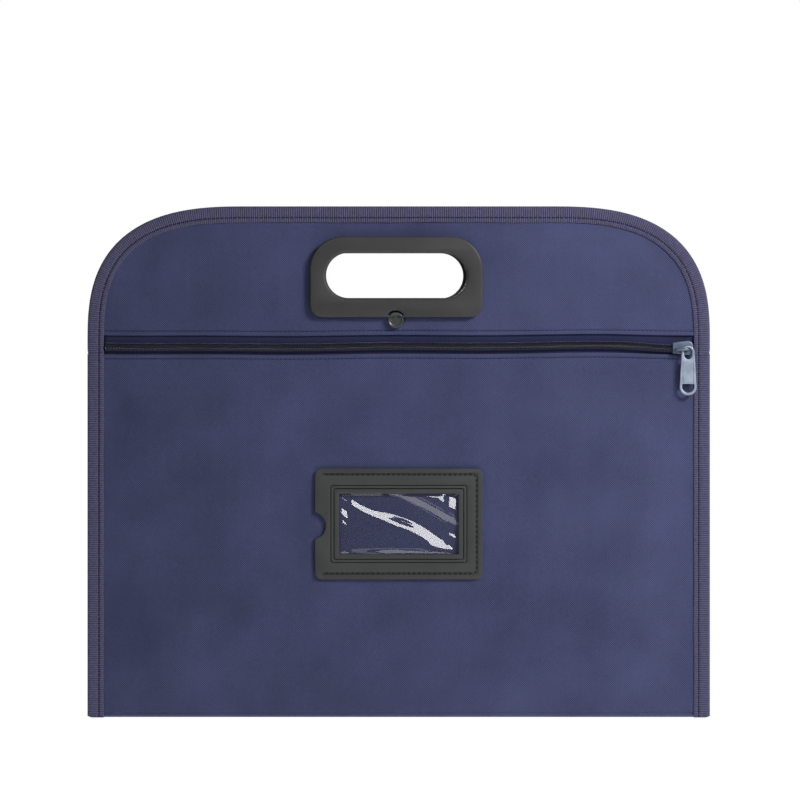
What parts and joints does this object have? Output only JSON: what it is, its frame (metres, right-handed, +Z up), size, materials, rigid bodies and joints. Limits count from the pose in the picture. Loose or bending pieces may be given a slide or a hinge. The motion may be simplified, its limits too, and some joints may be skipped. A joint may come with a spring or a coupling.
{
  "type": "document deposit bag",
  "caption": "Flat navy cloth document and deposit bag with bound edges, clamped plastic hand grips, a press stud, a front zip pocket and a clear label holder.",
  "frame": {"origin": "on the bottom fold, at the middle of the bag's width and of its whole depth", "axes": "+X along the zip to the bag's right as seen from the front, +Z up towards the hand grips, +Y from the front towards the back"},
  "size_m": [0.38, 0.0204, 0.312],
  "materials": {
    "oxford_cloth": "matte",
    "lining_cloth": "matte",
    "binding_tape": "matte",
    "zip_tape": "matte",
    "zip_coil": "satin",
    "slider_metal": "satin",
    "grip_plastic": "satin",
    "stud_metal": "satin",
    "label_pvc": "satin",
    "clear_film": "gloss"
  },
  "bodies": {
    "bag_body": {"front_pocket_panel": "oxford_cloth", "front_upper_panel": "oxford_cloth", "pocket_divider": "lining_cloth", "rear_panel": "oxford_cloth", "side_binding_left": "binding_tape", "side_binding_right": "binding_tape", "front_mouth_binding": "binding_tape", "zip_tape_upper": "zip_tape", "zip_tape_lower": "zip_tape", "zip_coil_upper": "zip_coil", "zip_coil_lower": "zip_coil", "front_grip_outer": "grip_plastic", "front_grip_inner": "grip_plastic", "stud_cap": "stud_metal", "stud_socket": "stud_metal", "label_frame": "label_pvc", "label_window": "clear_film"},
    "rear_flap": {"rear_flap_panel": "oxford_cloth", "rear_mouth_binding": "binding_tape", "rear_grip_outer": "grip_plastic", "rear_grip_inner": "grip_plastic", "stud_post": "stud_metal", "stud_rivet": "stud_metal"},
    "slider": {"zip_slider": "slider_metal"},
    "pull": {"zip_pull": "slider_metal"}
  },
  "joints": [
    {"name": "mouth_fold", "type": "hinge", "parent": "bag_body", "child": "rear_flap", "pos_m": [0, 0.0064, 0.222], "axis": [-1, 0, 0], "range_deg": [0, 50], "stiffness_Nm_per_rad": 0.06},
    {"name": "zip_run", "type": "slide", "parent": "bag_body", "child": "slider", "axis": [1, 0, 0], "range_m": [-0.346, 0]},
    {"name": "pull_swing", "type": "hinge", "parent": "slider", "child": "pull", "pos_m": [0.1764, -0.008, 0.2246], "axis": [0, 1, 0], "range_deg": [-50, 40]}
  ]
}
